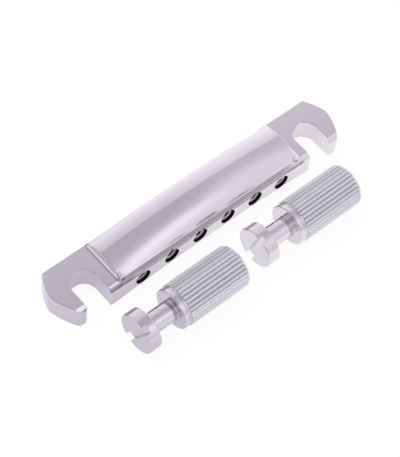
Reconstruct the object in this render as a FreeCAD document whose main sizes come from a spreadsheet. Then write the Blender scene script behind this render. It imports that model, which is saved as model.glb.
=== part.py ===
import FreeCAD, Part
import math
import os
import Sketcher

# A stop-bar tailpiece as it is supplied: the bar lies on its ears, and in front of it, in one row,
# lie two slotted height studs, each screwed fully into its knurled anchor bushing.
# Millimetres, +X along the bar, +Z up, the strings leave towards -Y, and the floor is z = 0.
# Places on the bar are counted from the line through its stud centres.

SIZES = {
    # bar: ears, hooks and front
    "ear_thickness": 7.5,
    "bar_front": 7.0,
    "bar_back": 9.4,
    "ear_width": 6.05,
    "ear_back_taper": 2.85,
    "ear_front_taper": 3.5,
    "ear_bend_back": 3.7,
    "ear_bend_front": 0.5,
    "ear_bend_radius": 5.0,
    "ear_side_radius": 22.0,
    "slot_spacing": 82.8,
    "slot_width": 8.2,
    "slot_depth": 10.8,
    "tip_round": 1.0,
    "nose_radius": 3.4,
    "nose_height": 4.5,
    "arch_rise": 1.83,
    "arch_land": 0.8,
    # bar: crown
    "crown_length": 66.4,
    "crown_end_height": 10.0,
    "crown_mid_height": 11.85,
    "crown_apex_back": 3.4,
    "crown_rear_round": 7.2,
    "crown_root": 4.5,
    "crown_foot_round": 0.8,
    # bar: string holes
    "string_pitch": 10.4,
    "string_height": 5.7,
    "string_arch_radius": 240.0,
    "exit_diameter": 5.0,
    "exit_depth": 1.2,
    "string_hole_diameter": 2.4,
    "ball_bore_diameter": 5.0,
    "ball_bore_depth": 6.5,
    # stud
    "head_diameter": 12.6,
    "head_thickness": 4.0,
    "head_chamfer": 0.3,
    "driver_slot_width": 2.4,
    "driver_slot_depth": 1.5,
    "neck_diameter": 6.3,
    "neck_length": 8.4,
    "collar_diameter": 12.6,
    "collar_thickness": 1.64,
    "collar_chamfer": 0.3,
    "thread_diameter": 8.0,
    "thread_length": 20.0,
    "thread_chamfer": 0.9,
    # bushing
    "bushing_wall": 2.55,
    "bushing_length": 21.8,
    "rim_length": 0.6,
    "rim_step": 0.4,
    "bore_clearance": 0.05,
    "bore_chamfer": 0.7,
    "flute_depth": 0.34,
    "flute_width": 0.9,
    # how the set lies
    "row_gap": 6.9,
    "row_step": 0.35,
    "left_head_place": -40.4,
    "pair_gap": 7.8,
    "left_slot_turn": 28.0,
    "right_slot_turn": 15.0,
    # how far a cutting profile runs past the piece it cuts
    "overrun": 2.0,
}
STRING_COUNT = 6
FLUTE_COUNT = 32
# How close two lengths are to count as the same
TOLERANCE = 0.001

doc = FreeCAD.newDocument("tailpiece")
sheet = doc.addObject("Spreadsheet::Sheet", "sizes")
for row, (alias, value) in enumerate(SIZES.items(), start=1):
    sheet.set("A%d" % row, alias)
    sheet.set("B%d" % row, str(value))
    sheet.setAlias("B%d" % row, alias)
doc.recompute()

# Derived places on the bar, as expressions on the sheet
SLOT_RADIUS = "sizes.slot_width / 2"
SLOT_CENTRE = "sizes.slot_spacing / 2"
SLOT_INNER = "(sizes.slot_spacing - sizes.slot_width) / 2"
SLOT_OUTER = "(sizes.slot_spacing + sizes.slot_width) / 2"
EAR_OUTER = "(%s + sizes.ear_width)" % SLOT_OUTER
SLOT_CENTRE_Y = "sizes.slot_depth - sizes.slot_width / 2 - sizes.bar_front"
CREASE_RISE = "(sizes.ear_thickness - sizes.nose_height)"
CREASE_Y = "sizes.nose_radius - sizes.bar_front - sqrt(sizes.nose_radius^2 - %s^2)" % CREASE_RISE
ARCH_HALF_SPAN = "((sizes.slot_spacing - sizes.slot_width) / 2 - sizes.arch_land)"
ARCH_RADIUS = "(%s^2 + sizes.arch_rise^2) / (2 * sizes.arch_rise)" % ARCH_HALF_SPAN


def turned_over(expression):
    """the same length on the other side of the axis it is measured from"""
    return "-(%s)" % expression


def new_body(label):
    body = doc.addObject("PartDesign::Body", label)
    body.Label = label
    return body


def origin_feature(body, role):
    return next(item for item in body.Origin.OriginFeatures if item.Role == role)


def new_sketch(body, plane, name, offset=None):
    """a sketch on one of the body's own planes, moved along the plane's normal by the offset"""
    sketch = body.newObject("Sketcher::SketchObject", name)
    sketch.AttachmentSupport = [(origin_feature(body, plane), "")]
    sketch.MapMode = "FlatFace"
    if offset is not None:
        sketch.setExpression("AttachmentOffset.Base.z", offset)
    doc.recompute()
    return sketch


def value_of(expression):
    return float(sheet.evalExpression(expression))


def bind(sketch, expression, *constraint):
    """adds one dimension to the sketch and ties it to the sheet"""
    index = sketch.addConstraint(Sketcher.Constraint(*constraint, value_of(expression)))
    sketch.setExpression("Constraints[%d]" % index, expression)


def arc_between(start, end, radius, clockwise):
    """the shorter arc from start to end"""
    chord = end - start
    half = chord.Length / 2
    rise = math.sqrt(max(radius**2 - half**2, 0.0))
    left = FreeCAD.Vector(-chord.y, chord.x, 0).normalize()
    centre = (start + end) / 2 + left * (-rise if clockwise else rise)
    if clockwise:
        start, end = end, start
    angles = [math.atan2(point.y - centre.y, point.x - centre.x) for point in (start, end)]
    if angles[1] < angles[0]:
        angles[1] += 2 * math.pi
    circle = Part.Circle(centre, FreeCAD.Vector(0, 0, 1), radius)
    return Part.ArcOfCircle(circle, angles[0], angles[1])


def draw_outline(sketch, corners):
    """A closed outline. Each corner is (x, y), or (x, y, radius, "left" or "right") where an arc that
    turns that way leads to it. Every coordinate and radius is an expression on the sheet."""
    points = [FreeCAD.Vector(value_of(corner[0]), value_of(corner[1]), 0) for corner in corners]
    ends = []
    for index, corner in enumerate(corners):
        start = points[index - 1]
        end = points[index]
        if len(corner) > 2:
            clockwise = corner[3] == "right"
            piece = sketch.addGeometry(arc_between(start, end, value_of(corner[2]), clockwise))
            ends.append((piece, 2, 1) if clockwise else (piece, 1, 2))
        else:
            piece = sketch.addGeometry(Part.LineSegment(start, end))
            ends.append((piece, 1, 2))
    for index, corner in enumerate(corners):
        piece, first, last = ends[index]
        following, following_first, following_last = ends[(index + 1) % len(ends)]
        sketch.addConstraint(Sketcher.Constraint("Coincident", piece, last, following, following_first))
        bind(sketch, corner[0], "DistanceX", -1, 1, piece, last)
        bind(sketch, corner[1], "DistanceY", -1, 1, piece, last)
        if len(corner) > 2:
            bind(sketch, corner[2], "Radius", piece)


def draw_circle(sketch, x, y, diameter):
    centre = FreeCAD.Vector(value_of(x), value_of(y), 0)
    circle = Part.Circle(centre, FreeCAD.Vector(0, 0, 1), value_of(diameter) / 2)
    piece = sketch.addGeometry(circle)
    bind(sketch, x, "DistanceX", -1, 1, piece, 3)
    bind(sketch, y, "DistanceY", -1, 1, piece, 3)
    bind(sketch, diameter, "Diameter", piece)


def both_sides(corners):
    """the right half of an outline, then its mirror image, walked on round to the start"""
    mirrored = []
    for index in range(len(corners) - 1, -1, -1):
        corner = (turned_over(corners[index][0]), corners[index][1])
        arc = corners[index + 1][2:] if index + 1 < len(corners) else ()
        mirrored.append(corner + tuple(arc))
    return list(corners) + mirrored


def pad(body, sketch, length):
    feature = body.newObject("PartDesign::Pad", sketch.Name + "_pad")
    feature.Profile = sketch
    feature.setExpression("Length", length)
    body.Tip = feature
    doc.recompute()
    return feature


def cut(body, sketch, length=None, reverse=False, both_ways=False):
    """a pocket against the sketch's normal, of a length or through everything"""
    before = body.Shape.Volume
    feature = body.newObject("PartDesign::Pocket", sketch.Name + "_cut")
    feature.Profile = sketch
    if both_ways:
        feature.SideType = "Symmetric"
    if length is None:
        feature.Type = "ThroughAll"
    else:
        feature.setExpression("Length", length)
    feature.Reversed = reverse
    body.Tip = feature
    doc.recompute()
    if not feature.Shape.Volume < before:
        raise RuntimeError("%s cut nothing" % feature.Name)
    return feature


def turn(body, sketch):
    """revolves the sketch about its own horizontal axis"""
    feature = body.newObject("PartDesign::Revolution", sketch.Name + "_turned")
    feature.Profile = sketch
    feature.ReferenceAxis = (sketch, ["H_Axis"])
    body.Tip = feature
    doc.recompute()
    return feature


def ear_plate(body):
    """the plan of the bar: straight back, round ears, and the two hooks open towards the strings"""
    sketch = new_sketch(body, "XY_Plane", "plate")
    front = turned_over("sizes.bar_front")
    corners = [
        (EAR_OUTER + " - sizes.ear_back_taper", "sizes.bar_back"),
        (EAR_OUTER, "sizes.ear_bend_back", "sizes.ear_side_radius", "right"),
        (EAR_OUTER, "sizes.ear_bend_front", "sizes.ear_bend_radius", "right"),
        (EAR_OUTER + " - sizes.ear_front_taper", front, "sizes.ear_side_radius", "right"),
        (SLOT_OUTER + " + sizes.tip_round", front),
        (SLOT_OUTER, "sizes.tip_round - sizes.bar_front", "sizes.tip_round", "right"),
        (SLOT_OUTER, SLOT_CENTRE_Y),
        (SLOT_CENTRE, SLOT_CENTRE_Y + " + " + SLOT_RADIUS, SLOT_RADIUS, "left"),
        (SLOT_INNER, SLOT_CENTRE_Y, SLOT_RADIUS, "left"),
        (SLOT_INNER, front),
    ]
    draw_outline(sketch, both_sides(corners))
    pad(body, sketch, "sizes.ear_thickness")


def rounded_nose(body):
    """the front's upper edge, rounded over from the vertical to the crease below the crown"""
    sketch = new_sketch(body, "YZ_Plane", "nose")
    front = "-sizes.bar_front"
    clear_front = "-(sizes.bar_front + sizes.overrun)"
    clear_top = "sizes.ear_thickness + sizes.overrun"
    draw_outline(sketch, [
        (front, "sizes.nose_height"),
        (CREASE_Y, "sizes.ear_thickness", "sizes.nose_radius", "right"),
        (CREASE_Y, clear_top),
        (clear_front, clear_top),
        (clear_front, "sizes.nose_height"),
    ])
    cut(body, sketch, both_ways=True)


def arched_underside(body):
    sketch = new_sketch(body, "XZ_Plane", "underside")
    draw_outline(sketch, [
        (ARCH_HALF_SPAN, "0", ARCH_RADIUS, "right"),
        (ARCH_HALF_SPAN, "-sizes.overrun"),
        (turned_over(ARCH_HALF_SPAN), "-sizes.overrun"),
        (turned_over(ARCH_HALF_SPAN), "0"),
    ])
    cut(body, sketch, both_ways=True)


def crown_section(body, name, offset, height):
    """one cross-section of the crown: front slope from the crease to the apex, and the round back"""
    sketch = new_sketch(body, "YZ_Plane", name, offset)
    rise = "(%s - sizes.ear_thickness)" % height
    run = "(sizes.crown_apex_back - (%s))" % CREASE_Y
    slope_radius = "(%s^2 + %s^2) / (2 * %s)" % (run, rise, rise)
    back_run = "(sizes.bar_back - sizes.crown_apex_back)"
    back_drop = "(sizes.crown_rear_round - sqrt(sizes.crown_rear_round^2 - %s^2))" % back_run
    draw_outline(sketch, [
        (CREASE_Y, "sizes.ear_thickness"),
        ("sizes.crown_apex_back", height, slope_radius, "right"),
        ("sizes.bar_back", "%s - %s" % (height, back_drop), "sizes.crown_rear_round", "right"),
        ("sizes.bar_back", "sizes.crown_root"),
        (CREASE_Y, "sizes.crown_root"),
    ])
    return sketch


def arched_crown(body):
    """the crown between the ears, lofted from its low ends through its high middle"""
    half = "sizes.crown_length / 2"
    left = crown_section(body, "crown_left", turned_over(half), "sizes.crown_end_height")
    middle = crown_section(body, "crown_middle", "0", "sizes.crown_mid_height")
    right = crown_section(body, "crown_right", half, "sizes.crown_end_height")
    loft = body.newObject("PartDesign::AdditiveLoft", "crown")
    loft.Profile = left
    loft.Sections = [middle, right]
    loft.Ruled = False
    body.Tip = loft
    doc.recompute()


def round_crown_feet(body):
    """the hollow round where each end wall of the crown meets its ear"""
    end_x = value_of("sizes.crown_length / 2")
    top = value_of("sizes.ear_thickness")
    feet = []
    for index, edge in enumerate(body.Shape.Edges, start=1):
        box = edge.BoundBox
        at_end = math.isclose(abs(box.Center.x), end_x, abs_tol=TOLERANCE) and box.XLength < TOLERANCE
        at_top = math.isclose(box.Center.z, top, abs_tol=TOLERANCE) and box.ZLength < TOLERANCE
        if at_end and at_top:
            feet.append("Edge%d" % index)
    crown = body.Tip
    fillet = body.newObject("PartDesign::Fillet", "crown_feet")
    fillet.Base = (crown, feet)
    fillet.setExpression("Radius", "sizes.crown_foot_round")
    body.Tip = fillet
    doc.recompute()


def string_row(body, name, plane_offset, diameter, **how):
    """one hole for each string, its height following the strings' arch"""
    sketch = new_sketch(body, "XZ_Plane", name, plane_offset)
    for index in range(STRING_COUNT):
        x = "%s * sizes.string_pitch" % (index - (STRING_COUNT - 1) / 2)
        height = "sizes.string_height - (%s)^2 / (2 * sizes.string_arch_radius)" % x
        draw_circle(sketch, x, height, diameter)
    cut(body, sketch, **how)


def make_bar():
    body = new_body("tailpiece_bar")
    ear_plate(body)
    rounded_nose(body)
    arched_underside(body)
    arched_crown(body)
    round_crown_feet(body)
    exit_floor = "sizes.bar_front - sizes.exit_depth"
    bore_floor = "sizes.ball_bore_depth - sizes.bar_back"
    string_row(body, "string_exits", exit_floor, "sizes.exit_diameter", reverse=True)
    string_row(body, "ball_bores", bore_floor, "sizes.ball_bore_diameter")
    string_row(body, "string_holes", "0", "sizes.string_hole_diameter", both_ways=True)
    return body


# Stations along a stud from the face of its head
NECK_START = "sizes.head_thickness"
NECK_END = NECK_START + " + sizes.neck_length"
COLLAR_END = NECK_END + " + sizes.collar_thickness"
THREAD_END = COLLAR_END + " + sizes.thread_length"


def make_stud(label):
    """a stud with the face of its head at the body's own origin and its shank along +X"""
    body = new_body(label)
    sketch = new_sketch(body, "XY_Plane", label + "_profile")
    head = "sizes.head_diameter / 2"
    neck = "sizes.neck_diameter / 2"
    collar = "sizes.collar_diameter / 2"
    thread = "sizes.thread_diameter / 2"
    draw_outline(sketch, [
        ("0", "0"),
        ("0", head + " - sizes.head_chamfer"),
        ("sizes.head_chamfer", head),
        (NECK_START, head),
        (NECK_START, neck),
        (NECK_END, neck),
        (NECK_END, collar + " - sizes.collar_chamfer"),
        (NECK_END + " + sizes.collar_chamfer", collar),
        (COLLAR_END, collar),
        (COLLAR_END, thread),
        (THREAD_END + " - sizes.thread_chamfer", thread),
        (THREAD_END, thread + " - sizes.thread_chamfer"),
        (THREAD_END, "0"),
    ])
    turn(body, sketch)
    slot = new_sketch(body, "YZ_Plane", label + "_driver_slot")
    half_width = "sizes.driver_slot_width / 2"
    reach = "sizes.head_diameter / 2 + sizes.overrun"
    draw_outline(slot, both_sides([(half_width, reach), (half_width, turned_over(reach))]))
    cut(body, slot, "sizes.driver_slot_depth", reverse=True)
    return body


# Radii of a bushing, from the thread that it holds
BUSHING_BORE = "(sizes.thread_diameter / 2 + sizes.bore_clearance)"
BUSHING_OUTSIDE = "(%s + sizes.bushing_wall)" % BUSHING_BORE


def make_bushing(label):
    """A bushing with its open end at the body's own origin and its length along +X. Its outside is
    cut with V flutes, flute_width wide at the surface, between two plain rims below their depth."""
    body = new_body(label)
    sketch = new_sketch(body, "XY_Plane", label + "_profile")
    draw_outline(sketch, [
        ("0", BUSHING_BORE + " + sizes.bore_chamfer"),
        ("0", BUSHING_OUTSIDE + " - sizes.rim_step"),
        ("sizes.rim_length", BUSHING_OUTSIDE + " - sizes.rim_step"),
        ("sizes.rim_length", BUSHING_OUTSIDE),
        ("sizes.bushing_length - sizes.rim_length", BUSHING_OUTSIDE),
        ("sizes.bushing_length - sizes.rim_length", BUSHING_OUTSIDE + " - sizes.rim_step"),
        ("sizes.bushing_length", BUSHING_OUTSIDE + " - sizes.rim_step"),
        ("sizes.bushing_length", BUSHING_BORE),
        ("sizes.bore_chamfer", BUSHING_BORE),
    ])
    turn(body, sketch)
    flute = new_sketch(body, "YZ_Plane", label + "_flute")
    draw_outline(flute, [
        ("0", BUSHING_OUTSIDE + " - sizes.flute_depth"),
        ("sizes.flute_width", BUSHING_OUTSIDE + " + sizes.flute_depth"),
        ("-sizes.flute_width", BUSHING_OUTSIDE + " + sizes.flute_depth"),
    ])
    groove = cut(body, flute, both_ways=True)
    knurl = body.newObject("PartDesign::PolarPattern", label + "_knurl")
    knurl.Originals = [groove]
    knurl.Axis = (origin_feature(body, "X_Axis"), [""])
    knurl.Angle = 360
    knurl.Occurrences = FLUTE_COUNT
    body.Tip = knurl
    doc.recompute()
    return body


def lay_down(body, x, y, z, turn_about_x="0"):
    """places a body in the frame of the whole set, whose origin is the middle of the floor below it"""
    body.Placement.Rotation = FreeCAD.Rotation(FreeCAD.Vector(1, 0, 0), value_of(turn_about_x))
    body.setExpression("Placement.Base.x", x)
    body.setExpression("Placement.Base.y", "%s + %s" % (y, SET_MIDDLE))
    body.setExpression("Placement.Base.z", z)


# How far the bar and the row reach in front of the stud line, and the set's middle behind that
SET_FRONT = "sizes.bar_front + sizes.row_gap + sizes.row_step + 2 * %s" % BUSHING_OUTSIDE
SET_MIDDLE = "(%s - sizes.bar_back) / 2" % SET_FRONT
ROW_Y = "-sizes.bar_front - sizes.row_gap - %s" % BUSHING_OUTSIDE
LEFT_Y = ROW_Y + " - sizes.row_step"
RIGHT_Y = ROW_Y + " + sizes.row_step"
ROW_Z = BUSHING_OUTSIDE
LEFT_HEAD_X = "sizes.left_head_place"
RIGHT_HEAD_X = "(sizes.left_head_place + %s + sizes.bushing_length + sizes.pair_gap)" % COLLAR_END

bar = make_bar()
lay_down(bar, "0", "0", "0")
pieces = [bar]
for side, head_x, y in (("left", LEFT_HEAD_X, LEFT_Y), ("right", RIGHT_HEAD_X, RIGHT_Y)):
    stud = make_stud("stud_" + side)
    lay_down(stud, head_x, y, ROW_Z, "sizes.%s_slot_turn" % side)
    bushing = make_bushing("bushing_" + side)
    lay_down(bushing, head_x + " + " + COLLAR_END, y, ROW_Z)
    pieces += [stud, bushing]
doc.recompute()

for item in doc.Objects:
    if "Invalid" in item.State or "Error" in item.State:
        raise RuntimeError("%s did not build" % item.Name)
os.makedirs("parts", exist_ok=True)
for piece in pieces:
    if piece.Shape.isNull() or not piece.Shape.isValid():
        raise RuntimeError("%s has no sound shape" % piece.Label)
    piece.Shape.exportStep("parts/%s.step" % piece.Label)
    box = piece.Shape.BoundBox
    print("%-14s %8.1f mm3  solids %d  x %.2f %.2f  y %.2f %.2f  z %.2f %.2f" % (
        piece.Label, piece.Shape.Volume, len(piece.Shape.Solids),
        box.XMin, box.XMax, box.YMin, box.YMax, box.ZMin, box.ZMax))
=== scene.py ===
import bpy
import math
import numpy as np
from mathutils import Matrix, Vector


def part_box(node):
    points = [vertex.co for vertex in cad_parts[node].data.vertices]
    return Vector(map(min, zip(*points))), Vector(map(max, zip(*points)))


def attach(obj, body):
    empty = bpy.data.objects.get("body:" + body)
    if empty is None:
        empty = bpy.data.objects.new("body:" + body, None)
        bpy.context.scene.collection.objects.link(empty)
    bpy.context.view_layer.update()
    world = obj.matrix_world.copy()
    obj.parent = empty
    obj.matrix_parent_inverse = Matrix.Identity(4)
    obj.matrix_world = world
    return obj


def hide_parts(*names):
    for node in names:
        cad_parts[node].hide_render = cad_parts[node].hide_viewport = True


# A polished stop-bar tailpiece on a white studio floor, with its two height studs and their knurled
# bushings lying in front of it. The metal's sizes are millimetres: the bar's in its own frame, with +X
# along it from its middle, +Y towards its back and +Z up from the underside of its ears, and a stud's
# or bushing's along its axis, which lies along X. The studio and the camera are in metres and degrees.

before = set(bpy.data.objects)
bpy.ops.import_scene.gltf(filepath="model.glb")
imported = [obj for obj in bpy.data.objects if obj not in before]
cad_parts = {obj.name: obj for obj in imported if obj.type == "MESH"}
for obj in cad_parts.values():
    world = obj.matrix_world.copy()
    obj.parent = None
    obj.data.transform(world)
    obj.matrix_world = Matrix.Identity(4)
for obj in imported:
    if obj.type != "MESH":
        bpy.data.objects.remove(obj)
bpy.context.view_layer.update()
MM = 0.001

# Bar: ears, hooks and nose
EAR_TOP = 7.5
BAR_FRONT = 7.0
BAR_BACK = 9.4
EAR_WIDTH = 6.05
EAR_BACK_TAPER = 2.85
EAR_FRONT_TAPER = 3.5
EAR_BEND_BACK = 3.7
EAR_BEND_FRONT = 0.5
EAR_BEND_RADIUS = 5.0
EAR_SIDE_RADIUS = 22.0
HOOK_SPACING = 82.8
HOOK_WIDTH = 8.2
HOOK_DEPTH = 10.8
TIP_ROUND = 1.0
NOSE_RADIUS = 3.4
NOSE_HEIGHT = 4.5
LEDGE_TILT = math.radians(79)
LAND_TILT = math.radians(57)
TILT_FADE = 7.0
ARCH_RISE = 1.83
ARCH_LAND = 0.8

# Bar: crown
CROWN_LENGTH = 66.4
CROWN_END_HEIGHT = 10.0
CROWN_MID_HEIGHT = 11.85
CROWN_APEX_BACK = 3.4
CROWN_REAR_ROUND = 7.2
CROWN_FOOT_ROUND = 1.1

# Bar: string exits in its front, the holes behind them, and the ball-end bores in its back
STRING_COUNT = 6
STRING_PITCH = 10.4
STRING_ARCH_RADIUS = 240.0
EXIT_HEIGHT = 5.15
EXIT_RADIUS = 2.4
EXIT_DEPTH = 0.7
EXIT_CONE = 0.35
EXIT_TOP = 7.05
STRING_HOLE_RADIUS = 1.2
BALL_BORE_HEIGHT = 5.7
BALL_BORE_RADIUS = 2.5
BALL_BORE_DEPTH = 6.5

# Bar: painted shade in its holes and in a ring round each exit's mouth, from 0 for none to 1 for black. An
# exit's floor is the least shaded.
PAINTED_DARK_EDGE = 0.04
EXIT_FLOOR_SHADE = 0.55
EXIT_FLOOR_SHADE_RADIUS = 1.85
EXIT_FLOOR_SHADE_FADE = 0.15
RIM_SHADE_RADIUS = 2.55

# Bar: a painted dark reflection on the ledge under the crown and the left ear's bevel, darker again to the
# left. The band lies between its start and its end down from the crease, and along the bar it runs from
# the left hook to its right end.
DARK_REFLECTION = 0.27
DARK_REFLECTION_START = 0.0
DARK_REFLECTION_START_ON_EAR = 0.5
DARK_REFLECTION_END = 2.0
DARK_REFLECTION_FADE = 0.35
DARK_REFLECTION_RIGHT_END = 32.0
DARK_REFLECTION_TAPER = 3.0
DARKER_REFLECTION = 0.3
DARKER_REFLECTION_LEFT_OF = -28.0

# Stud, along its axis from the face of its head
HEAD_RADIUS = 6.3
HEAD_LENGTH = 4.0
NECK_RADIUS = 3.15
NECK_LENGTH = 8.4
COLLAR_RADIUS = 6.3
COLLAR_LENGTH = 1.64
THREAD_RADIUS = 4.0
THREAD_LENGTH = 20.0
THREAD_PITCH = 1.25
THREAD_DEPTH = 0.68
THREAD_CHAMFER = 0.9
THREAD_FLANK = 1.25
THREAD_CREST = 0.125
DRIVER_WIDTH = 2.4
DRIVER_DEPTH = 1.5
DRIVER_TURNS = {"left": math.radians(28.0), "right": math.radians(15.0)}

# Bushing, along its axis from its mouth, which meets the stud's collar
BUSHING_RADIUS = 6.6
BUSHING_LENGTH = 21.8
BUSHING_BORE = 4.05
BORE_CHAMFER = 0.7
RIM_LENGTH = 0.6
RIM_STEP = 0.4
FLUTE_COUNT = 32
FLUTE_DEPTH = 0.38
FLUTE_WIDTH = 1.0
FLUTE_SHADE = 0.27
FLUTE_PARTS = 12
EDGE_PARTS = 4
KNURL_SHARES = (0.1, 0.3, 0.5, 0.7, 0.9)
SHARP_TURN = math.radians(35)

# How far each kind of edge is rounded by the polish
EDGE_ROUND = 0.3
HOOK_ROUND = 0.25
RIM_ROUND = 0.18
ROOT_ROUND = 0.25
DRIVER_ROUND = 0.12
CREASE_ROUND = 0.12
LEDGE_ROUND = 0.4
LAND_ROUND = 0.9
SLEEVE_ROUND = 0.2
KNURL_ROUND = 0.15

# How finely the skins are cut: whole cells first, then the edges across which the skin turns. The slope
# step is how far to each side a field is read, and the least square keeps roots and divisors from zero.
BAR_STEP = 0.36
STUD_STEP = 0.3
NET_MARGIN = 1.5
SETTLE_STEPS = 3
SPLIT_ROUNDS = 2
SPLIT_TURN = math.radians(12)
SPLIT_LENGTH = 0.12
SLOPE_STEP = 0.01
LEAST_SQUARE = 0.01

HOOK_RADIUS = HOOK_WIDTH / 2
HOOK_CENTRE = HOOK_SPACING / 2
HOOK_CENTRE_Y = HOOK_DEPTH - HOOK_RADIUS - BAR_FRONT
EAR_OUTER = HOOK_CENTRE + HOOK_RADIUS + EAR_WIDTH
NOSE_Y = NOSE_RADIUS - BAR_FRONT
CREASE_Y = NOSE_Y - math.sqrt(NOSE_RADIUS**2 - (EAR_TOP - NOSE_HEIGHT)**2)
NECK_END = HEAD_LENGTH + NECK_LENGTH
COLLAR_END = NECK_END + COLLAR_LENGTH
THREAD_END = COLLAR_END + THREAD_LENGTH


def meet(a, b, radius):
    """distance to the solid inside both a and b, the edge between them rounded"""
    both = np.minimum(-radius, np.maximum(a, b))
    return both + np.hypot(np.maximum(radius + a, 0), np.maximum(radius + b, 0))


def join(a, b, radius):
    """distance to the solid inside a or b, the hollow between them rounded"""
    either = np.maximum(radius, np.minimum(a, b))
    return either - np.hypot(np.maximum(radius - a, 0), np.maximum(radius - b, 0))


def arc_side(x, y, start, end, radius):
    """how far x lies outside an arc that bulges towards +x and climbs from start to end"""
    chord = np.subtract(end, start)
    half = np.hypot(*chord) / 2
    inward = np.array([-chord[1], chord[0]]) / (2 * half)
    centre = np.add(start, end) / 2 + inward * math.sqrt(radius**2 - half**2)
    reach = np.sqrt(np.maximum(radius**2 - (y - centre[1])**2, LEAST_SQUARE))
    return (x - centre[0] - reach) * reach / radius


def ear_side(x, y):
    """distance outside the ear's three outer arcs"""
    tip = (EAR_OUTER - EAR_FRONT_TAPER, -BAR_FRONT)
    bend_front = (EAR_OUTER, EAR_BEND_FRONT)
    bend_back = (EAR_OUTER, EAR_BEND_BACK)
    corner = (EAR_OUTER - EAR_BACK_TAPER, BAR_BACK)
    front = arc_side(x, y, tip, bend_front, EAR_SIDE_RADIUS)
    middle = arc_side(x, y, bend_front, bend_back, EAR_BEND_RADIUS)
    back = arc_side(x, y, bend_back, corner, EAR_SIDE_RADIUS)
    return np.where(y < EAR_BEND_FRONT, front, np.where(y > EAR_BEND_BACK, back, middle))


def crown_top(x, y, z):
    """distance above the crown, whose section is one arc in front of its apex and one behind it"""
    drop = CROWN_MID_HEIGHT - CROWN_END_HEIGHT
    height = CROWN_MID_HEIGHT - drop * (2 * x / CROWN_LENGTH)**2
    rise = height - EAR_TOP
    run = CROWN_APEX_BACK - CREASE_Y
    slope_radius = (run**2 + rise**2) / (2 * rise)
    radius = np.where(y < CROWN_APEX_BACK, slope_radius, CROWN_REAR_ROUND)
    return np.hypot(y - CROWN_APEX_BACK, np.maximum(z - height + radius, 0)) - radius


def string_reach(x, z, height):
    """distance from the nearest axis of an arched row of six whose middle is at this height"""
    place = np.clip(np.floor(x / STRING_PITCH), -STRING_COUNT / 2, STRING_COUNT / 2 - 1) + 0.5
    hole_x = place * STRING_PITCH
    hole_z = height - hole_x**2 / (2 * STRING_ARCH_RADIUS)
    return np.hypot(x - hole_x, z - hole_z)


def string_holes(x, y, z):
    """distance outside the nearest string's exit, hole and ball-end bore"""
    exit_reach = string_reach(x, z, EXIT_HEIGHT)
    cone = EXIT_CONE * (EXIT_RADIUS - exit_reach)
    exit_hole = np.maximum(exit_reach - EXIT_RADIUS, y + BAR_FRONT - EXIT_DEPTH - cone)
    exit_hole = np.maximum(exit_hole, z - EXIT_TOP)
    bore_reach = string_reach(x, z, BALL_BORE_HEIGHT)
    bore = np.maximum(bore_reach - BALL_BORE_RADIUS, BAR_BACK - BALL_BORE_DEPTH - y)
    return np.minimum(np.minimum(exit_hole, bore), exit_reach - STRING_HOLE_RADIUS)


def crown_share(x):
    """1 under the crown's middle, falling to 0 at its ends and on the ears"""
    return np.clip((CROWN_LENGTH / 2 - np.abs(x)) / TILT_FADE, 0, 1)


def bevel_tilt(x):
    """how far the top of the nose leans back from upright: a ledge under the crown, a bevel on the ears"""
    return LAND_TILT + (LEDGE_TILT - LAND_TILT) * crown_share(x)


def nose_front(x, y, z):
    """distance in front of the nose: its ledge or bevel below the crease, rounded into the front wall"""
    tilt = bevel_tilt(x)
    bevel = (z - EAR_TOP) * np.sin(tilt) - (y - CREASE_Y) * np.cos(tilt)
    return meet(bevel, -BAR_FRONT - y, LAND_ROUND + (LEDGE_ROUND - LAND_ROUND) * crown_share(x))


def bar_field(x, y, z):
    """signed distance to the polished bar, negative inside it"""
    side = np.abs(x)
    plate = meet(nose_front(x, y, z), z - EAR_TOP, CREASE_ROUND)
    end = side - CROWN_LENGTH / 2
    crown = meet(np.maximum(crown_top(x, y, z), CREASE_Y - y), end, EDGE_ROUND)
    # The fillet at the foot of the crown's end faces is full as far in as its radius, and gone at twice
    # that
    at_foot = np.clip(end / CROWN_FOOT_ROUND + 2, 0, 1)
    solid = join(plate, crown, CREASE_ROUND + (CROWN_FOOT_ROUND - CREASE_ROUND) * at_foot)
    solid = meet(solid, y - BAR_BACK, EDGE_ROUND)
    solid = meet(solid, ear_side(side, y), EDGE_ROUND)
    hook = np.hypot(side - HOOK_CENTRE, np.maximum(y - HOOK_CENTRE_Y, 0)) - HOOK_RADIUS
    tip = meet(-BAR_FRONT - y, -hook, TIP_ROUND)
    solid = meet(solid, np.where(side > HOOK_CENTRE, tip, -hook), HOOK_ROUND)
    solid = meet(solid, -z, EDGE_ROUND)
    half_span = HOOK_CENTRE - HOOK_RADIUS - ARCH_LAND
    arch_radius = (half_span**2 + ARCH_RISE**2) / (2 * ARCH_RISE)
    underside = arch_radius - np.hypot(x, z - ARCH_RISE + arch_radius)
    solid = meet(solid, underside, CREASE_ROUND)
    return meet(solid, -string_holes(x, y, z), RIM_ROUND)


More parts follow.
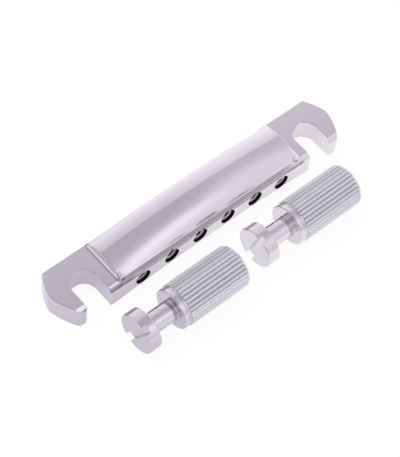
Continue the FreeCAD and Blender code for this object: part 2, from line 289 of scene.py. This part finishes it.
def bar_painted_dark(x, y, z):
    """how dark the bar is painted: bright, but for painted shade in its holes and round each exit, and a
    painted dark reflection on the ledge under the crown and the left ear's bevel"""
    # Painted shade: black in the string holes and ball-end bores, grey on an exit's floor, black on its
    # wall and in a ring round its mouth
    exit_reach = string_reach(x, z, EXIT_HEIGHT)
    at_exit = (exit_reach < RIM_SHADE_RADIUS) & (y < CREASE_Y) & (z < EXIT_TOP + PAINTED_DARK_EDGE)
    in_hole = exit_reach < STRING_HOLE_RADIUS + PAINTED_DARK_EDGE
    in_bore = string_reach(x, z, BALL_BORE_HEIGHT) < BALL_BORE_RADIUS + PAINTED_DARK_EDGE
    in_bore &= (y > BAR_BACK - BALL_BORE_DEPTH - PAINTED_DARK_EDGE) & (y < BAR_BACK - RIM_ROUND)
    off_floor = np.clip((exit_reach - EXIT_FLOOR_SHADE_RADIUS) / EXIT_FLOOR_SHADE_FADE, 0, 1)
    exit_shade = at_exit * (EXIT_FLOOR_SHADE + (1 - EXIT_FLOOR_SHADE) * off_floor)
    # A painted dark reflection in a band down from the crease, darker towards the left end
    tilt = bevel_tilt(x)
    down = (CREASE_Y - y) * np.sin(tilt) + (EAR_TOP - z) * np.cos(tilt)
    start = np.where(x < -CROWN_LENGTH / 2, DARK_REFLECTION_START_ON_EAR, DARK_REFLECTION_START)
    band = np.clip((down - start) / DARK_REFLECTION_FADE, 0, 1) * np.clip((DARK_REFLECTION_END - down) / DARK_REFLECTION_FADE, 0, 1)
    stretch = np.clip((DARK_REFLECTION_RIGHT_END - x) / DARK_REFLECTION_TAPER, 0, 1) * (x > HOOK_RADIUS - HOOK_CENTRE)
    band_darkness = DARK_REFLECTION + DARKER_REFLECTION * np.clip((DARKER_REFLECTION_LEFT_OF - x) / DARK_REFLECTION_TAPER, 0, 1)
    band_reflection = band * stretch * band_darkness * (y < CREASE_Y)
    return np.maximum(np.where(in_bore | in_hole, 1, exit_shade), band_reflection)


def disc(x, r, start, end, radius, edge):
    """distance to a disc or shank between two stations on the axis"""
    along = np.abs(x - (start + end) / 2) - (end - start) / 2
    return meet(along, r - radius, edge)


def thread(x, y, z, r):
    """distance to the threaded shank, whose groove deepens over its first turn behind the collar"""
    turns = x / THREAD_PITCH - np.arctan2(z, y) / math.tau
    # From 0 in the middle of the crest to 1 in the middle of the root
    groove = np.abs(2 * (turns - np.floor(turns)) - 1)
    run_out = np.clip((x - COLLAR_END) / THREAD_PITCH, 0, 1)
    depth = THREAD_DEPTH * run_out * np.clip(THREAD_FLANK * groove - THREAD_CREST, 0, 1)
    cone = (r + x - THREAD_END - THREAD_RADIUS + THREAD_CHAMFER) / math.sqrt(2)
    return np.maximum(disc(x, r, NECK_END, THREAD_END, THREAD_RADIUS - depth, CREASE_ROUND), cone)


def stud_field(x, y, z, driver_turn):
    """signed distance to a stud along +X whose driver slot is turned about the axis"""
    r = np.hypot(y, z)
    head = disc(x, r, 0, HEAD_LENGTH, HEAD_RADIUS, EDGE_ROUND)
    neck = disc(x, r, HEAD_LENGTH / 2, COLLAR_END, NECK_RADIUS, DRIVER_ROUND)
    collar = disc(x, r, NECK_END, COLLAR_END, COLLAR_RADIUS, EDGE_ROUND)
    solid = join(join(head, neck, ROOT_ROUND), collar, ROOT_ROUND)
    solid = np.minimum(solid, thread(x, y, z, r))
    across = y * math.cos(driver_turn) + z * math.sin(driver_turn)
    driver = np.maximum(np.abs(across) - DRIVER_WIDTH / 2, x - DRIVER_DEPTH)
    return meet(solid, -driver, DRIVER_ROUND)


def stud_painted_dark(x, y, z):
    """a stud is bright all over"""
    return np.zeros_like(x)


def slope(field, points):
    """the field's gradient at each point"""
    gradient = np.empty_like(points)
    for axis in range(3):
        ahead, behind = points.copy(), points.copy()
        ahead[:, axis] += SLOPE_STEP
        behind[:, axis] -= SLOPE_STEP
        gradient[:, axis] = (field(*ahead.T) - field(*behind.T)) / (2 * SLOPE_STEP)
    return gradient


def skin_normals(field, points):
    """the skin's outward direction at each point"""
    gradient = slope(field, points)
    return gradient / np.linalg.norm(gradient, axis=1)[:, None]


def settle(field, points):
    """moves points along the slope onto the skin where the field is zero"""
    for _ in range(SETTLE_STEPS):
        gradient = slope(field, points)
        steepness = np.maximum((gradient**2).sum(axis=1), LEAST_SQUARE)
        points = points - gradient * (field(*points.T) / steepness)[:, None]
    return points


def net(field, low, high, step):
    """points and four-sided faces of the skin where the field is zero, one point to each mixed cell"""
    axes = [np.arange(a - NET_MARGIN * step, b + (NET_MARGIN + 1) * step, step)
            for a, b in zip(low, high)]
    inside = field(*np.meshgrid(*axes, indexing="ij", sparse=True)) < 0
    corners = [inside[i:i - 1 or None, j:j - 1 or None, k:k - 1 or None]
               for i in (0, 1) for j in (0, 1) for k in (0, 1)]
    mixed = np.logical_or.reduce(corners) & ~np.logical_and.reduce(corners)
    cells = np.full(mixed.shape, -1)
    cells[mixed] = np.arange(mixed.sum())
    origin = np.array([axis[0] for axis in axes])
    points = origin + (np.argwhere(mixed) + 0.5) * step
    faces = []
    for axis in range(3):
        order = [axis, (axis + 1) % 3, (axis + 2) % 3]
        solid, cell = inside.transpose(order), cells.transpose(order)
        crossed = solid[:-1, 1:-1, 1:-1] != solid[1:, 1:-1, 1:-1]
        a, b, c = np.nonzero(crossed)
        around = [cell[a, b, c], cell[a, b + 1, c], cell[a, b + 1, c + 1], cell[a, b, c + 1]]
        ring = np.stack(around, axis=1)
        inward = ~solid[a, b + 1, c + 1]
        ring[inward] = ring[inward][:, ::-1]
        faces.append(ring)
    return settle(field, points), np.concatenate(faces)


def split(field, points, faces):
    """halves each edge across which the skin turns, its new point on the skin, and cuts its faces there"""
    normals = skin_normals(field, points)
    sides = np.sort(np.stack([faces, np.roll(faces, -1, axis=1)], axis=2).reshape(-1, 2), axis=1)
    keys, side_edges = np.unique(sides[:, 0] * len(points) + sides[:, 1], return_inverse=True)
    ends = np.stack([keys // len(points), keys % len(points)], axis=1)
    turn = (normals[ends[:, 0]] * normals[ends[:, 1]]).sum(axis=1)
    length = np.linalg.norm(points[ends[:, 0]] - points[ends[:, 1]], axis=1)
    bent = (turn < math.cos(SPLIT_TURN)) & (length > SPLIT_LENGTH)
    middles = np.full(len(keys), -1)
    middles[bent] = len(points) + np.arange(bent.sum())
    middles = middles[side_edges].reshape(-1, 3)
    added = settle(field, points[ends[bent]].mean(axis=1))
    cuts = (middles >= 0).sum(axis=1)
    first = np.where(cuts == 2, (np.argmin(middles, axis=1) + 1) % 3, np.argmax(middles, axis=1))
    turned = (np.arange(3) + first[:, None]) % 3
    a, b, c = np.take_along_axis(faces, turned, axis=1).T
    ab, bc, ca = np.take_along_axis(middles, turned, axis=1).T
    # The triangles that a triangle turns into, by how many of its sides are halved
    patterns = {0: [(a, b, c)],
                1: [(a, ab, c), (ab, b, c)],
                2: [(ab, b, bc), (a, ab, bc), (a, bc, c)],
                3: [(a, ab, ca), (ab, b, bc), (ca, bc, c), (ab, bc, ca)]}
    pieces = [np.stack(corners, axis=1)[cuts == count]
              for count, pattern in patterns.items() for corners in pattern]
    return np.concatenate([points, added]), np.concatenate(pieces)


def mesh_of(name, points, faces):
    """a smooth mesh in metres from points in millimetres and faces of three or four sides"""
    mesh = bpy.data.meshes.new(name)
    mesh.vertices.add(len(points))
    mesh.vertices.foreach_set("co", (points * MM).ravel())
    mesh.loops.add(faces.size)
    mesh.loops.foreach_set("vertex_index", faces.ravel())
    mesh.polygons.add(len(faces))
    mesh.polygons.foreach_set("loop_start", np.arange(0, faces.size, faces.shape[1]))
    mesh.update(calc_edges=True)
    mesh.shade_smooth()
    return mesh


PAINTED_DARK_LAYER = "painted_dark"


def lay_painted_dark(mesh, values):
    """how dark each point is painted, as shade or a dark reflection, for the metal to read"""
    painted_dark = mesh.attributes.new(PAINTED_DARK_LAYER, "FLOAT", "POINT")
    painted_dark.data.foreach_set("value", values)


def link(name, data):
    """an object in the scene, made of a mesh, a light or a camera"""
    made = bpy.data.objects.new(name, data)
    bpy.context.scene.collection.objects.link(made)
    return made


def skin(name, field, painted_dark_of, low, high, step, place):
    """a piece whose skin follows the field, cut finer where it turns, with the field's own normals"""
    points, quads = net(field, low, high, step)
    faces = np.concatenate([quads[:, [0, 1, 2]], quads[:, [0, 2, 3]]])
    for _ in range(SPLIT_ROUNDS):
        points, faces = split(field, points, faces)
    mesh = mesh_of(name, points + place, faces)
    mesh.normals_split_custom_set_from_vertices(skin_normals(field, points))
    lay_painted_dark(mesh, painted_dark_of(*points.T))
    return link(name, mesh)


def bushing_outline(angles):
    """the knurl's radius round the bushing: lands with soft V flutes between them"""
    pitch = math.tau / FLUTE_COUNT
    offset = np.abs((angles + pitch / 2) % pitch - pitch / 2) * BUSHING_RADIUS
    depth = FLUTE_DEPTH * np.clip(1 - 2 * offset / FLUTE_WIDTH, 0, 1)
    return BUSHING_RADIUS - depth


def round_over(x, radius, edge):
    """the stations and radii of a quarter turn that climbs from the end face at x to a shank's radius"""
    bends = [math.radians(90 * part / EDGE_PARTS) for part in range(EDGE_PARTS + 1)]
    return [(x + edge * (1 - math.cos(bend)), radius - edge * (1 - math.sin(bend))) for bend in bends]


def bushing_rows(angles):
    """stations and radii from the bore out over the plain rim, along the knurl, and back into the bore"""
    knurl = bushing_outline(angles)
    smooth = np.ones_like(angles)
    rim_radius = BUSHING_RADIUS - RIM_STEP
    rim = round_over(0, rim_radius, SLEEVE_ROUND) + [(RIM_LENGTH, rim_radius)]
    shoulder = round_over(RIM_LENGTH, BUSHING_RADIUS, KNURL_ROUND)
    end = [(x, smooth * radius) for x, radius in rim]
    end += [(x, np.minimum(knurl, radius)) for x, radius in shoulder]
    rows = end + [(BUSHING_LENGTH * share, knurl) for share in KNURL_SHARES]
    rows += [(BUSHING_LENGTH - x, radius) for x, radius in reversed(end)]
    rows += [(BUSHING_LENGTH, smooth * BUSHING_BORE), (BORE_CHAMFER, smooth * BUSHING_BORE)]
    rows.append((0, smooth * (BUSHING_BORE + BORE_CHAMFER)))
    return rows


def bushing(name, place):
    """a knurled sleeve of closed rows, with painted shade in its flutes"""
    count = FLUTE_COUNT * FLUTE_PARTS
    angles = np.arange(count) * math.tau / count
    rows = bushing_rows(angles)
    points = np.concatenate([
        np.stack([np.full(count, x), radius * np.cos(angles), radius * np.sin(angles)], axis=1)
        for x, radius in rows])
    ring = np.arange(count)
    following = (ring + 1) % count
    faces = []
    for row in range(len(rows)):
        near, far = row * count, (row + 1) % len(rows) * count
        faces.append(np.stack([near + ring, near + following, far + following, far + ring], axis=1))
    mesh = mesh_of(name, points + place, np.concatenate(faces))
    # Painted shade, deepest at the bottom of each flute
    depth = np.concatenate([np.clip((radius.max() - radius) / FLUTE_DEPTH, 0, 1) for _, radius in rows])
    lay_painted_dark(mesh, FLUTE_SHADE * depth)
    mesh.set_sharp_from_angle(angle=SHARP_TURN)
    return link(name, mesh)


def feed(tree, socket, value):
    """gives a node's input a link from an output, or else a colour or number of its own"""
    if isinstance(value, bpy.types.NodeSocket):
        tree.links.new(value, socket)
    elif isinstance(value, tuple):
        socket.default_value = (*value, 1)
    else:
        socket.default_value = value


def colour_mix(tree, share, start, end, blend="MIX"):
    """the colour that turns from start to end as the share goes from 0 to 1"""
    mix = tree.nodes.new("ShaderNodeMix")
    mix.data_type = "RGBA"
    mix.blend_type = blend
    feed(tree, mix.inputs["Factor"], share)
    feed(tree, mix.inputs["A"], start)
    feed(tree, mix.inputs["B"], end)
    return mix.outputs["Result"]


def map_range(tree, value, low, high, start=0.0, end=1.0, interpolation="LINEAR"):
    """the number that goes from start to end as the value goes from low to high"""
    mapped = tree.nodes.new("ShaderNodeMapRange")
    mapped.interpolation_type = interpolation
    feed(tree, mapped.inputs["Value"], value)
    feed(tree, mapped.inputs["From Min"], low)
    feed(tree, mapped.inputs["From Max"], high)
    feed(tree, mapped.inputs["To Min"], start)
    feed(tree, mapped.inputs["To Max"], end)
    return mapped.outputs["Result"]


def calculate(tree, operation, *values):
    """the result of one operation on outputs and numbers"""
    step = tree.nodes.new("ShaderNodeMath")
    step.operation = operation
    for socket, value in zip(step.inputs, values):
        feed(tree, socket, value)
    return step.outputs["Value"]


def noise(tree, place, scale, detail):
    """soft noise from 0 to 1, about as many clouds to the metre as its scale"""
    clouds = tree.nodes.new("ShaderNodeTexNoise")
    feed(tree, clouds.inputs["Vector"], place)
    feed(tree, clouds.inputs["Scale"], scale)
    feed(tree, clouds.inputs["Detail"], detail)
    return clouds.outputs["Fac"]


# The colour of the painted shade and painted dark reflections that the pieces carry in their layer
PAINTED_DARK_COLOUR = (0.035, 0.032, 0.031)
CLOUD_DETAIL = 5
CLOUD_LOW = 0.3
CLOUD_HIGH = 0.7
PEEL_DETAIL = 3


def nickel(name, colour, roughness, roughness_spread, mottle, cloud_scale, peel_height, peel_scale):
    """plated metal, clouded in roughness and tone, its skin slightly uneven by peel_height millimetres"""
    made = bpy.data.materials.new(name)
    made.use_nodes = True
    tree = made.node_tree
    shader = tree.nodes["Principled BSDF"]
    shader.inputs["Metallic"].default_value = 1.0
    place = tree.nodes.new("ShaderNodeTexCoord").outputs["Object"]
    clouds = noise(tree, place, cloud_scale, CLOUD_DETAIL)
    smoothest, roughest = roughness - roughness_spread, roughness + roughness_spread
    cloudy = map_range(tree, clouds, CLOUD_LOW, CLOUD_HIGH, smoothest, roughest)
    feed(tree, shader.inputs["Roughness"], cloudy)
    tone = colour_mix(tree, clouds, colour, tuple(part * mottle for part in colour))
    # Painted shade and painted dark reflections from the mesh's layer darken the base colour
    painted_dark = tree.nodes.new("ShaderNodeAttribute")
    painted_dark.attribute_name = PAINTED_DARK_LAYER
    feed(tree, shader.inputs["Base Color"], colour_mix(tree, painted_dark.outputs["Fac"], tone, PAINTED_DARK_COLOUR))
    peel = tree.nodes.new("ShaderNodeBump")
    peel.inputs["Distance"].default_value = peel_height * MM
    peel.inputs["Strength"].default_value = 1.0
    feed(tree, peel.inputs["Height"], noise(tree, place, peel_scale, PEEL_DETAIL))
    feed(tree, shader.inputs["Normal"], peel.outputs["Normal"])
    return made


def bar_nickel():
    """bright polished plate"""
    return nickel("bar_nickel", colour=(0.66, 0.63, 0.665), roughness=0.11, roughness_spread=0.02,
                  mottle=0.97, cloud_scale=180, peel_height=0.004, peel_scale=900)


def stud_nickel():
    """plate over a turned surface, a little less bright"""
    return nickel("stud_nickel", colour=(0.64, 0.61, 0.64), roughness=0.14, roughness_spread=0.03,
                  mottle=0.95, cloud_scale=180, peel_height=0.004, peel_scale=1200)


def knurl_nickel():
    """plate over the knurl, grainy and paler"""
    return nickel("knurl_nickel", colour=(0.79, 0.79, 0.82), roughness=0.2, roughness_spread=0.05,
                  mottle=0.6, cloud_scale=2600, peel_height=0.012, peel_scale=2200)


def finish_of(piece, node, body, look):
    """dresses a piece, and lets it move with its body in place of its CAD node"""
    piece.data.materials.clear()
    piece.data.materials.append(look)
    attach(piece, body)
    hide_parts(node)


def node_corners(node):
    """a CAD node's lowest and highest corners in millimetres"""
    return [np.array(corner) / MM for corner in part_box(node)]


def make_bar(look):
    """the polished bar, midway along its node and level with the node's back"""
    low, high = node_corners("tailpiece_bar")
    place = np.array([(low[0] + high[0]) / 2, high[1] - BAR_BACK, 0])
    bar_low = (-EAR_OUTER, -BAR_FRONT, 0)
    bar_high = (EAR_OUTER, BAR_BACK, CROWN_MID_HEIGHT)
    bar = skin("bar_skin", bar_field, bar_painted_dark, bar_low, bar_high, BAR_STEP, place)
    finish_of(bar, "tailpiece_bar", "bar", look)


def stud_place(side):
    """the middle of the face of a stud's head"""
    low, high = node_corners("stud_" + side)
    return np.array([low[0], (low[1] + high[1]) / 2, (low[2] + high[2]) / 2])


def make_stud(side, place, look):
    """a slotted height stud, threaded behind its collar"""
    def field(x, y, z):
        return stud_field(x, y, z, DRIVER_TURNS[side])

    low = (0, -HEAD_RADIUS, -HEAD_RADIUS)
    high = (THREAD_END, HEAD_RADIUS, HEAD_RADIUS)
    stud = skin("stud_%s_turned" % side, field, stud_painted_dark, low, high, STUD_STEP, place)
    finish_of(stud, "stud_" + side, side + "_stud", look)


def make_bushing(side, place, look):
    """a knurled anchor bushing"""
    sleeve = bushing("bushing_%s_knurled" % side, place)
    finish_of(sleeve, "bushing_" + side, side + "_bushing", look)


def make_pieces():
    """the bar, and on each side a stud screwed into its bushing as far as the collar"""
    polished, turned, knurled = bar_nickel(), stud_nickel(), knurl_nickel()
    make_bar(polished)
    for side in DRIVER_TURNS:
        place = stud_place(side)
        make_stud(side, place, turned)
        make_bushing(side, place + np.array([COLLAR_END, 0, 0]), knurled)


# The studio as the metal mirrors it, by the angle in degrees about the bar's length: 0 is overhead, 90
# is behind the bar and -90 in front of it. Rays that lean far to the right see past the end of the
# front box, and all others see its face. White is 1.
ACROSS_STUDIO = {
    "foot of the front box": (-95, 0.84),
    "lower part of the front box": (-80, 0.98),
    "face of the front box": (-58, 1.13),
    "head of the front box": (-41, 1.36),
    "top edge of the front box": (-31, 1.20),
    "front edge of the ceiling": (-20, 0.80),
    "middle of the ceiling": (-6, 0.67),
    "rear edge of the ceiling": (23.5, 0.64),
    "top of the rear wall": (27, 0.88),
    "foot of the rear wall": (110, 1.30),
}
ALONG_STUDIO = {
    "gap beside the front box": (-95, 0.86),
    "end of the front box": (-70, 0.98),
    "head of the front box": (-26, 1.05),
    "top edge of the front box": (-14, 0.97),
    "middle of the ceiling": (2, 0.80),
    "rear edge of the ceiling": (23, 0.74),
    "top of the rear wall": (28, 1.02),
    "foot of the rear wall": (100, 1.32),
}
WHOLE_TURN = (-180, 180)
ACROSS_LEAN = 0.35
ALONG_LEAN = 0.52

# How the studio changes along the bar, by how far a ray leans along it: -1 is straight to the left, and
# 1 straight to the right
ALONG_SHARES = {
    "left box": (-0.42, 1.05),
    "left edge of the dark card": (-0.37, 0.42),
    "right edge of the dark card": (0.0, 0.5),
    "left end of the ceiling": (0.1, 1.0),
    "right end of the ceiling": (0.7, 1.0),
    "right box": (0.85, 1.3),
}
WHOLE_LENGTH = (-1, 1)
STUDIO_TINT = (1.0, 0.97, 1.035)
PLAIN_LIGHT = (0.95, 0.94, 0.97)
WHITE = (1, 1, 1)


def studio_ramp(tree, share, studio, reach, tint):
    """the tone of the studio from one named place to the next, as the share goes over its reach"""
    ramp = tree.nodes.new("ShaderNodeValToRGB")
    elements = ramp.color_ramp.elements
    while len(elements) > 1:
        elements.remove(elements[-1])
    low, high = reach
    for index, (place, tone) in enumerate(studio.values()):
        position = (place - low) / (high - low)
        element = elements[0] if index == 0 else elements.new(position)
        element.position = position
        element.color = (*[tone * part for part in tint], 1)
    feed(tree, ramp.inputs["Fac"], share)
    return ramp.outputs["Color"]


def make_world():
    """white to the camera, plain to lit surfaces, and to the metal a studio of long soft boxes, a grey
    ceiling and a dark card on the left"""
    world = bpy.data.worlds.new("studio")
    bpy.context.scene.world = world
    world.use_nodes = True
    tree = world.node_tree
    ray = tree.nodes.new("ShaderNodeSeparateXYZ")
    feed(tree, ray.inputs["Vector"], tree.nodes.new("ShaderNodeTexCoord").outputs["Generated"])
    angle = calculate(tree, "ARCTAN2", ray.outputs["Y"], ray.outputs["Z"])
    turn = map_range(tree, angle, -math.pi, math.pi)
    across = studio_ramp(tree, turn, ACROSS_STUDIO, WHOLE_TURN, STUDIO_TINT)
    along = studio_ramp(tree, turn, ALONG_STUDIO, WHOLE_TURN, STUDIO_TINT)
    lean = map_range(tree, ray.outputs["X"], ACROSS_LEAN, ALONG_LEAN, interpolation="SMOOTHSTEP")
    length = map_range(tree, ray.outputs["X"], *WHOLE_LENGTH)
    card = studio_ramp(tree, length, ALONG_SHARES, WHOLE_LENGTH, WHITE)
    studio = colour_mix(tree, 1.0, colour_mix(tree, lean, across, along), card, blend="MULTIPLY")
    rays = tree.nodes.new("ShaderNodeLightPath")
    to_metal = colour_mix(tree, rays.outputs["Is Glossy Ray"], PLAIN_LIGHT, studio)
    to_camera = colour_mix(tree, rays.outputs["Is Camera Ray"], to_metal, WHITE)
    feed(tree, tree.nodes["Background"].inputs["Color"], to_camera)


# The floor's glow: how much of its colour is glow to the camera and to the metal, and, for the metal,
# its colours on the left and right and the places in metres between which it changes
FLOOR_HALF = 3.0
FLOOR_WHITE = (0.93, 0.915, 0.965)
CAMERA_GLOW = 0.92
METAL_GLOW = 0.7
LEFT_GLOW = (0.80, 0.785, 0.88)
RIGHT_GLOW = (1.28, 1.26, 1.27)
LEFT_GLOW_END = -0.042
RIGHT_GLOW_START = 0.005


def floor_white():
    """matt white under a glow that is white to the camera and, to the metal, darker on the left than on
    the right"""
    paint = bpy.data.materials.new("floor_white")
    paint.use_nodes = True
    tree = paint.node_tree
    shader = tree.nodes["Principled BSDF"]
    shader.inputs["Base Color"].default_value = (*FLOOR_WHITE, 1)
    shader.inputs["Roughness"].default_value = 1.0
    shader.inputs["Specular IOR Level"].default_value = 0.0
    place = tree.nodes.new("ShaderNodeSeparateXYZ")
    feed(tree, place.inputs["Vector"], tree.nodes.new("ShaderNodeTexCoord").outputs["Object"])
    rightward = map_range(tree, place.outputs["X"], LEFT_GLOW_END, RIGHT_GLOW_START)
    to_metal = colour_mix(tree, rightward, LEFT_GLOW, RIGHT_GLOW)
    rays = tree.nodes.new("ShaderNodeLightPath")
    to_camera = rays.outputs["Is Camera Ray"]
    glow = tree.nodes.new("ShaderNodeEmission")
    feed(tree, glow.inputs["Color"], colour_mix(tree, to_camera, to_metal, WHITE))
    metal_share = calculate(tree, "MULTIPLY", rays.outputs["Is Glossy Ray"], METAL_GLOW)
    mixed = tree.nodes.new("ShaderNodeMixShader")
    feed(tree, mixed.inputs["Fac"], calculate(tree, "MULTIPLY_ADD", to_camera, CAMERA_GLOW, metal_share))
    feed(tree, mixed.inputs[1], shader.outputs["BSDF"])
    feed(tree, mixed.inputs[2], glow.outputs["Emission"])
    feed(tree, tree.nodes["Material Output"].inputs["Surface"], mixed.outputs["Shader"])
    return paint


def make_floor():
    """a white floor, wide enough to fill the view, that keeps its soft shadow under its glow"""
    mesh = bpy.data.meshes.new("floor")
    corners = [(-1, -1), (1, -1), (1, 1), (-1, 1)]
    mesh.from_pydata([(a * FLOOR_HALF, b * FLOOR_HALF, 0) for a, b in corners], [], [(0, 1, 2, 3)])
    mesh.materials.append(floor_white())
    link("floor", mesh)


LAMP_PLACE = (-0.25, 0.35, 0.7)
LAMP_AIM = (0, 0, 0)
LAMP_SIZE = 0.6
LAMP_POWER = 3.0


def make_lamp():
    """a soft lamp above and behind the bar on the left, which the metal doesn't mirror"""
    light = bpy.data.lights.new("key", "AREA")
    light.size = LAMP_SIZE
    light.energy = LAMP_POWER
    lamp = link("key", light)
    lamp.location = LAMP_PLACE
    lamp.rotation_euler = (Vector(LAMP_AIM) - Vector(LAMP_PLACE)).to_track_quat("-Z", "Y").to_euler()
    lamp.visible_glossy = False


# The photograph's view: where the camera looks, how far off it is and how it is turned, in degrees
CAMERA_AIM = (-0.00127, 0.00611, 0.0)
CAMERA_DISTANCE = 0.47697
CAMERA_AZIMUTH = 48.326
CAMERA_ELEVATION = 56.762
CAMERA_ROLL = 8.872
CAMERA_LENS = 131.7
CAMERA_CLIP = 0.01


def make_camera():
    """the photograph's camera, from the front left of the bar and above it"""
    azimuth, elevation = math.radians(CAMERA_AZIMUTH), math.radians(CAMERA_ELEVATION)
    forward = Vector((math.sin(azimuth) * math.cos(elevation), math.cos(azimuth) * math.cos(elevation),
                      -math.sin(elevation)))
    level = forward.cross(Vector((0, 0, 1))).normalized()
    right = Matrix.Rotation(-math.radians(CAMERA_ROLL), 3, forward) @ level
    up = right.cross(forward)
    camera = link("camera", bpy.data.cameras.new("camera"))
    camera.data.lens = CAMERA_LENS
    camera.data.clip_start = CAMERA_CLIP
    turn = Matrix((right, up, -forward)).transposed().to_4x4()
    camera.matrix_world = Matrix.Translation(Vector(CAMERA_AIM) - forward * CAMERA_DISTANCE) @ turn
    bpy.context.scene.camera = camera


make_pieces()
make_world()
make_floor()
make_lamp()
make_camera()
bpy.context.scene.view_settings.view_transform = "Standard"
